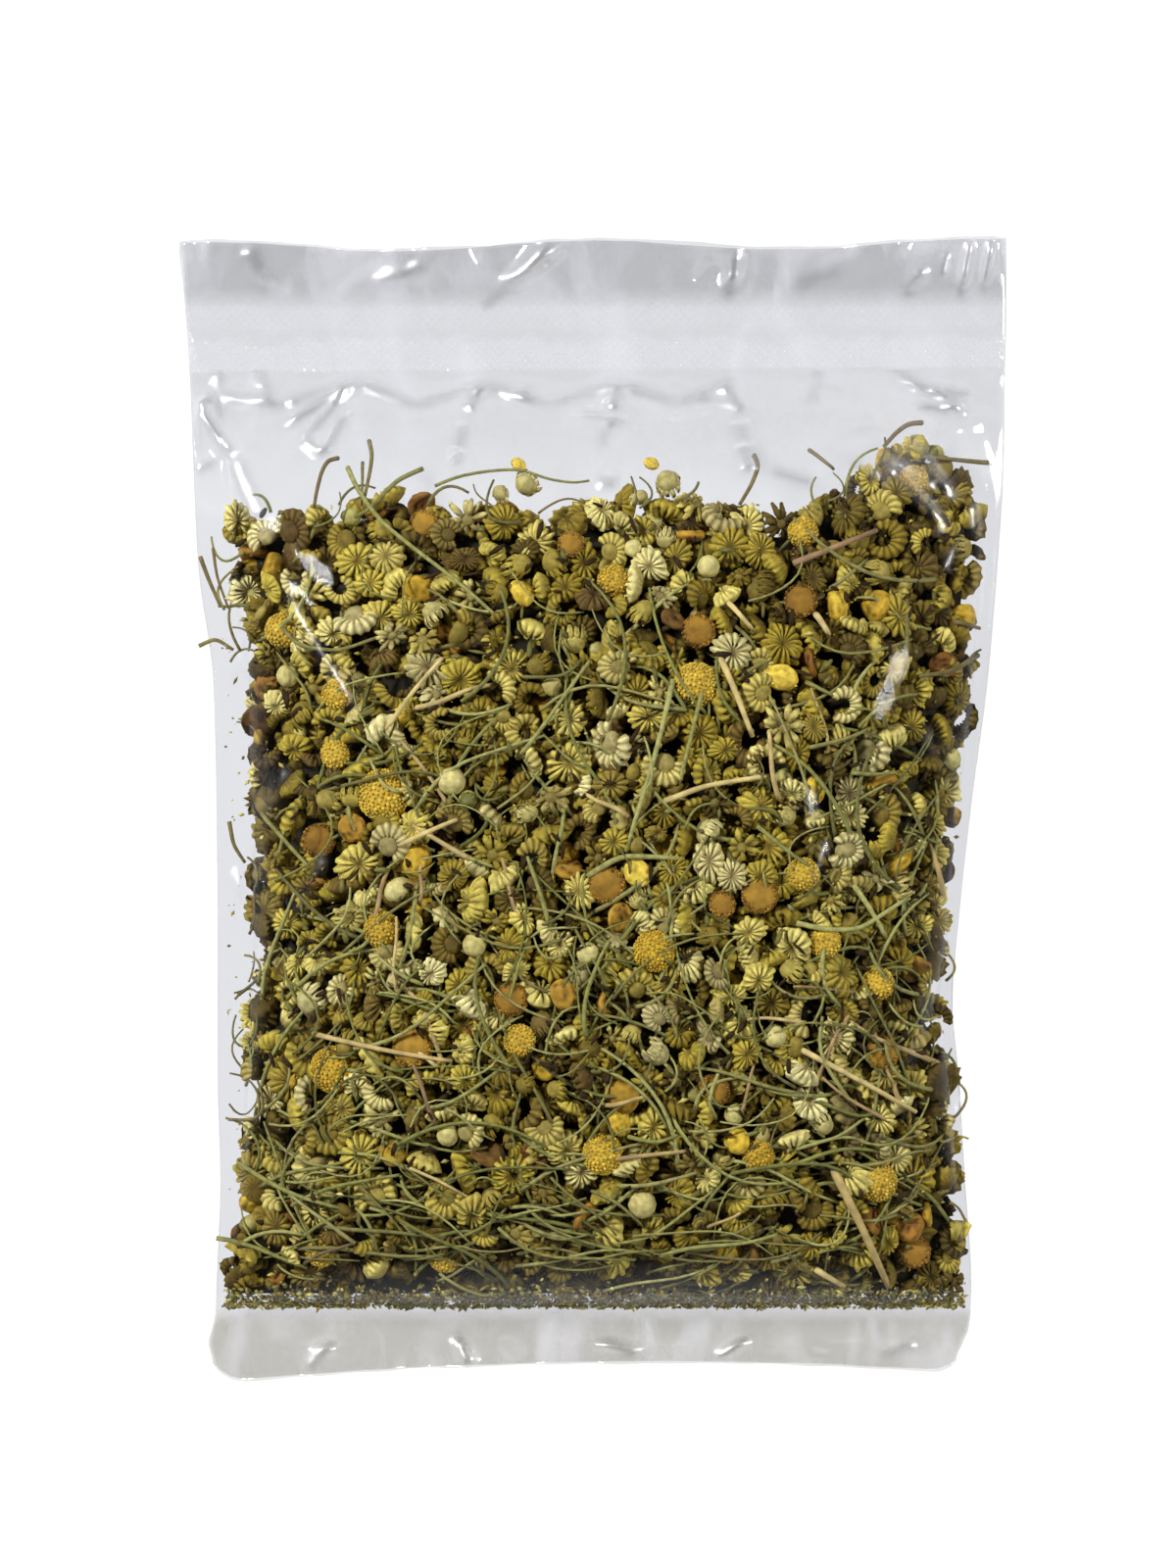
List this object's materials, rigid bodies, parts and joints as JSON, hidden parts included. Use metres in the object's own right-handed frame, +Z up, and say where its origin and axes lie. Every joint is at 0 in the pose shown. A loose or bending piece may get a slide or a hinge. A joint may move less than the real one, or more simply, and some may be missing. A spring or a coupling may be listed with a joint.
{
  "type": "sealed clear bag of dried chamomile flowers",
  "caption": "Clear film bag, crimp-sealed along the top and welded along the bottom, filled with loose dried chamomile flower heads, bare discs, buds and stems.",
  "frame": {"origin": "middle of the flat underside that the bag lies on", "axes": "+X across the bag, +Y up its length to the crimped top, +Z up from the table through the front film"},
  "size_m": [0.1492, 0.2038, 0.0308],
  "materials": {
    "clear_film": "thin glossy clear film, hazy where it is crimped",
    "dried_heads": "matte dried plant matter, cream to olive green",
    "yellow_florets": "matte granular yellow florets",
    "orange_florets": "matte granular orange-brown florets",
    "green_buds": "smooth dried green bud"
  },
  "bodies": {
    "root": {"clear_bag": "clear_film", "flower_heap": "dried_heads", "yellow_disc_01": "yellow_florets", "yellow_disc_02": "yellow_florets", "yellow_disc_03": "yellow_florets", "yellow_disc_04": "yellow_florets", "yellow_disc_05": "yellow_florets", "yellow_disc_06": "yellow_florets", "yellow_disc_07": "yellow_florets", "yellow_disc_08": "yellow_florets", "yellow_disc_09": "yellow_florets", "yellow_disc_10": "yellow_florets", "yellow_disc_11": "yellow_florets", "yellow_disc_12": "yellow_florets", "yellow_disc_13": "yellow_florets", "yellow_disc_14": "yellow_florets", "yellow_disc_15": "yellow_florets", "yellow_disc_16": "yellow_florets", "yellow_disc_17": "yellow_florets", "yellow_disc_18": "yellow_florets", "yellow_disc_19": "yellow_florets", "yellow_disc_20": "yellow_florets", "orange_disc_01": "orange_florets", "orange_disc_02": "orange_florets", "orange_disc_03": "orange_florets", "orange_disc_04": "orange_florets", "orange_disc_05": "orange_florets", "orange_disc_06": "orange_florets", "orange_disc_07": "orange_florets", "orange_disc_08": "orange_florets", "orange_disc_09": "orange_florets", "orange_disc_10": "orange_florets", "orange_disc_11": "orange_florets", "orange_disc_12": "orange_florets", "orange_disc_13": "orange_florets", "bud_01": "green_buds", "bud_02": "green_buds", "bud_03": "green_buds", "bud_04": "green_buds", "bud_05": "green_buds", "bud_06": "green_buds", "bud_07": "green_buds", "bud_08": "green_buds"}
  },
  "joints": []
}
